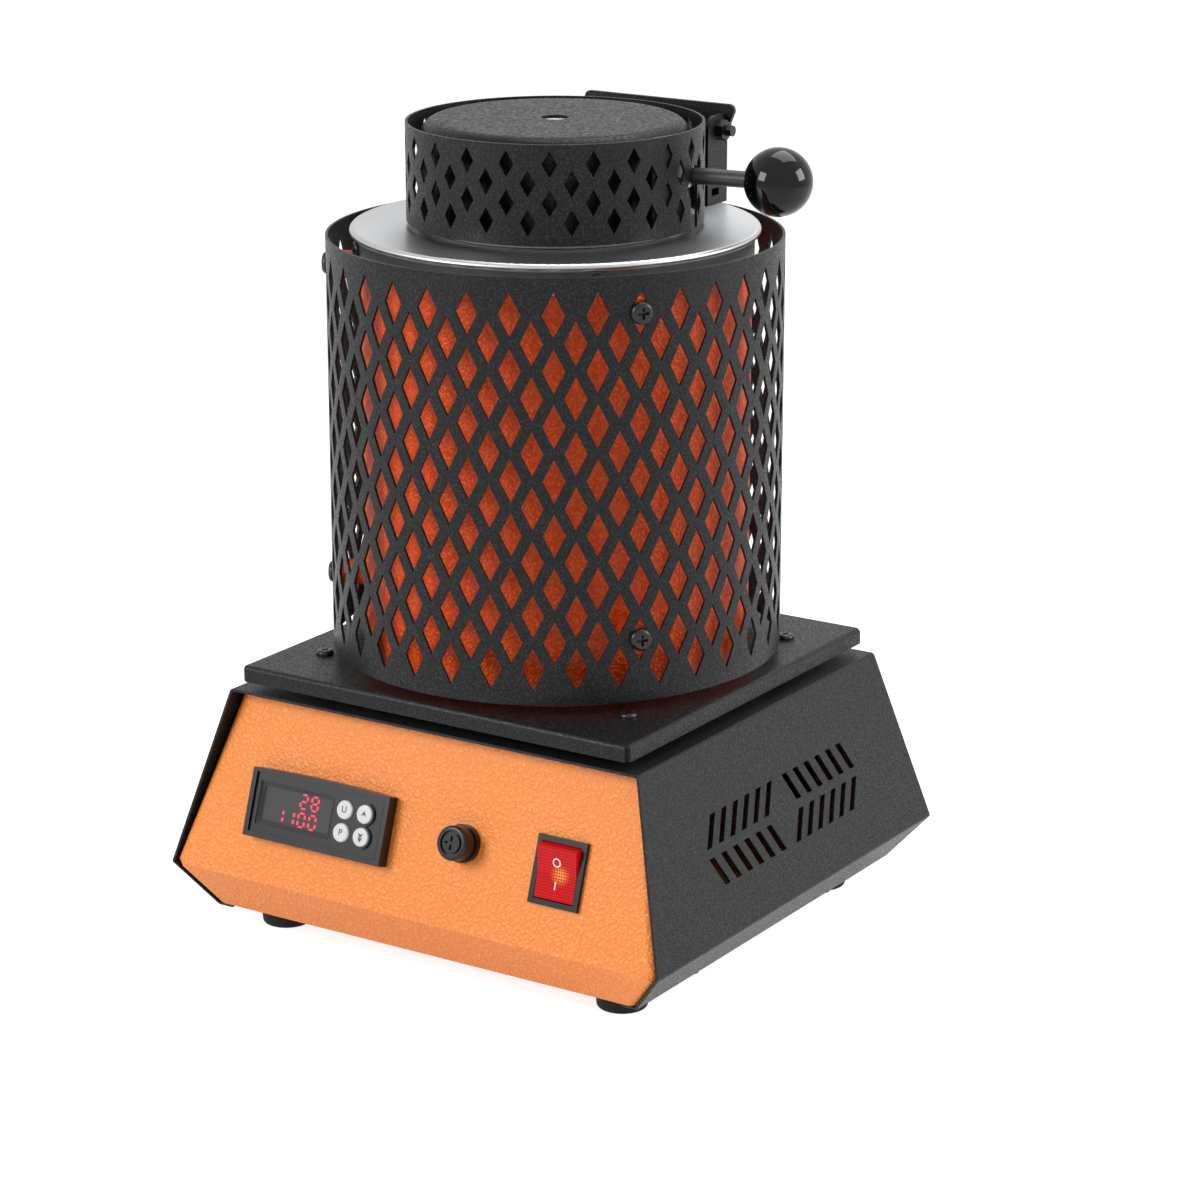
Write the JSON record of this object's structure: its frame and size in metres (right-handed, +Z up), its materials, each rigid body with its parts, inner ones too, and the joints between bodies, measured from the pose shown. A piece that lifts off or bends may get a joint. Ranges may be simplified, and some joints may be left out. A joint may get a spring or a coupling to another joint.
{
  "type": "electric gold melting furnace",
  "caption": "Bench furnace for melting gold: sloped steel base with controls, round furnace body in a perforated guard, hinged lid with ball handle.",
  "frame": {"origin": "centre of the overall box on the bench under the feet", "axes": "+Z up, the front with the controls faces -Y, +X to the right as seen from the front"},
  "size_m": [0.2702, 0.25, 0.38],
  "materials": {
    "orange_powder_coat": "leather-textured powder coat",
    "grey_powder_coat": "fine sand-textured powder coat",
    "black_enamel": "satin",
    "black_screw": "satin black oxide",
    "zinc_steel": "zinc plated",
    "black_steel": "satin",
    "black_bakelite": "polished",
    "foot_rubber": "matt",
    "stainless_steel": "brushed",
    "ceramic_fibre": "soft matt felted board",
    "fired_ceramic": "matt",
    "graphite": "machined matt",
    "resistance_wire": "oxidised",
    "black_plastic": "fine texture",
    "smoked_window": "clear smoked",
    "circuit_board": "lacquered",
    "red_led": "lit",
    "button_plastic": "pearl",
    "fuse_glass": "clear",
    "red_rocker": "translucent",
    "brass": "plain",
    "relay_plastic": "plain",
    "aluminium": "extruded"
  },
  "bodies": {
    "furnace": {"base_chassis": "orange_powder_coat", "base_cover": "grey_powder_coat", "body_bolts": "zinc_steel", "bottom_insulation": "ceramic_fibre", "bracket_screws": "black_screw", "cap_screws": "black_screw", "controller_back": "black_plastic", "controller_board": "circuit_board", "controller_clamp": "black_plastic", "controller_housing": "black_plastic", "controller_window": "smoked_window", "cover_screws": "black_screw", "crucible": "graphite", "display_figures": "red_led", "foot_screws": "zinc_steel", "furnace_shell": "orange_powder_coat", "fuse_holder": "black_plastic", "fuse_nut": "black_plastic", "guard_screws": "black_screw", "guard_spacers": "orange_powder_coat", "heat_guard": "grey_powder_coat", "heating_coil": "resistance_wire", "hinge_bolt": "black_screw", "hinge_bracket": "grey_powder_coat", "hinge_washers": "zinc_steel", "inlet_pins": "brass", "inlet_screws": "black_screw", "inner_screws": "zinc_steel", "lead_insulators": "fired_ceramic", "mains_inlet": "black_plastic", "muffle": "fired_ceramic", "plate_screws": "black_screw", "plate_spacers": "zinc_steel", "power_relay": "relay_plastic", "relay_sink": "aluminium", "rubber_feet": "foot_rubber", "side_insulation": "ceramic_fibre", "switch_body": "black_plastic", "switch_terminals": "brass", "terminal_block": "fired_ceramic", "thermocouple": "stainless_steel", "top_cap": "stainless_steel", "top_plate": "grey_powder_coat"},
    "lid": {"lid_pan": "black_enamel", "lid_insulation": "ceramic_fibre", "lid_guard": "grey_powder_coat", "leaf_spacers": "zinc_steel", "leaf_screws": "black_screw", "hinge_leaf": "grey_powder_coat", "handle_rod": "black_steel", "handle_nuts": "zinc_steel", "handle_ball": "black_bakelite"},
    "fuse_cap": {"fuse_cap": "black_plastic", "glass_fuse": "fuse_glass"},
    "switch_rocker": {"switch_rocker": "red_rocker"},
    "button_output": {"button_output": "button_plastic"},
    "button_up": {"button_up": "button_plastic"},
    "button_program": {"button_program": "button_plastic"},
    "button_down": {"button_down": "button_plastic"}
  },
  "joints": [
    {"name": "lid_hinge", "type": "hinge", "parent": "furnace", "child": "lid", "pos_m": [0, 0.0827, 0.366], "axis": [-1, 0, 0], "range_deg": [0, 100]},
    {"name": "button_output_press", "type": "slide", "parent": "furnace", "child": "button_output", "axis": [0, 0.9476, -0.3196], "range_m": [0, 0.0008], "stiffness_N_per_m": 800},
    {"name": "button_up_press", "type": "slide", "parent": "furnace", "child": "button_up", "axis": [0, 0.9476, -0.3196], "range_m": [0, 0.0008], "stiffness_N_per_m": 800},
    {"name": "button_program_press", "type": "slide", "parent": "furnace", "child": "button_program", "axis": [0, 0.9476, -0.3196], "range_m": [0, 0.0008], "stiffness_N_per_m": 800},
    {"name": "button_down_press", "type": "slide", "parent": "furnace", "child": "button_down", "axis": [0, 0.9476, -0.3196], "range_m": [0, 0.0008], "stiffness_N_per_m": 800},
    {"name": "switch_rock", "type": "hinge", "parent": "furnace", "child": "switch_rocker", "pos_m": [0.0765, -0.11239, 0.06677], "axis": [-1, 0, 0], "range_deg": [0, 20]},
    {"name": "fuse_cap_turn", "type": "hinge", "parent": "furnace", "child": "fuse_cap", "pos_m": [0.0244, -0.11238, 0.06993], "axis": [0, -0.9476, 0.3196], "range_deg": [0, 90]}
  ]
}
